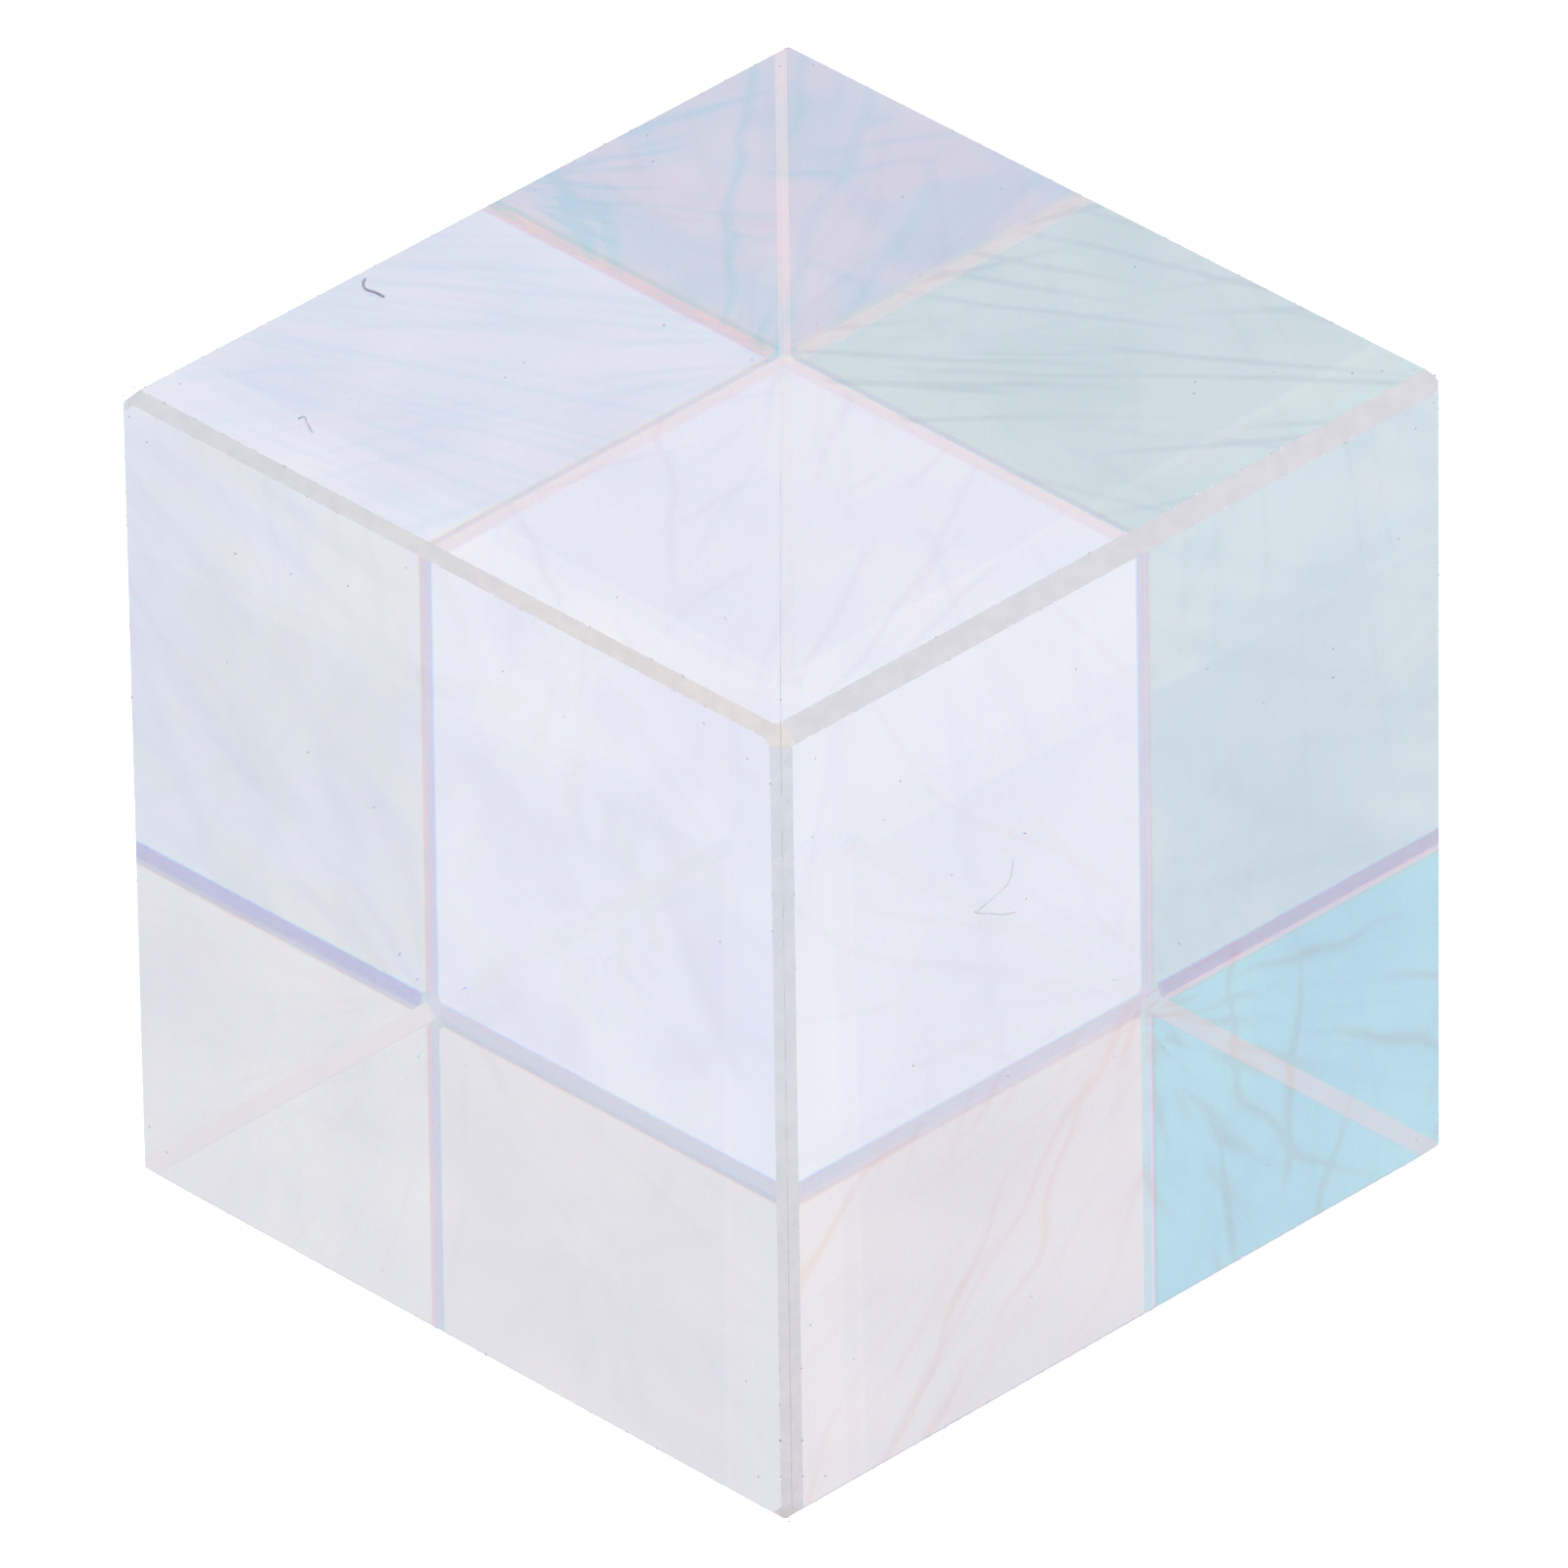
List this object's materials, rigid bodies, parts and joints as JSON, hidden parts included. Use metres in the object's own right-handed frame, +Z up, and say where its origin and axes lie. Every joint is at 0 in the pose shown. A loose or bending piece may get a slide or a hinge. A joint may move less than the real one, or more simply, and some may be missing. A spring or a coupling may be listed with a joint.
{
  "type": "beamsplitter cube",
  "caption": "Clear glass cube of two cemented right-angle prisms with a beamsplitting coating on the diagonal joint; bevelled edges.",
  "frame": {"origin": "centre of the bottom face", "axes": "+Z up; the four side faces are square to X and Y; the joint stands upright from the +X -Y edge to the -X +Y edge"},
  "size_m": [0.02, 0.02, 0.02],
  "materials": {
    "coated_prism_glass": "polished faces, fine-ground bevels",
    "plain_prism_glass": "polished faces, fine-ground bevels",
    "dielectric_coating": "partly reflecting dielectric film",
    "optical_cement": "clear cement"
  },
  "bodies": {
    "root": {"coated_prism": "coated_prism_glass", "plain_prism": "plain_prism_glass", "beamsplitter_coating": "dielectric_coating", "cement_layer": "optical_cement"}
  },
  "joints": []
}
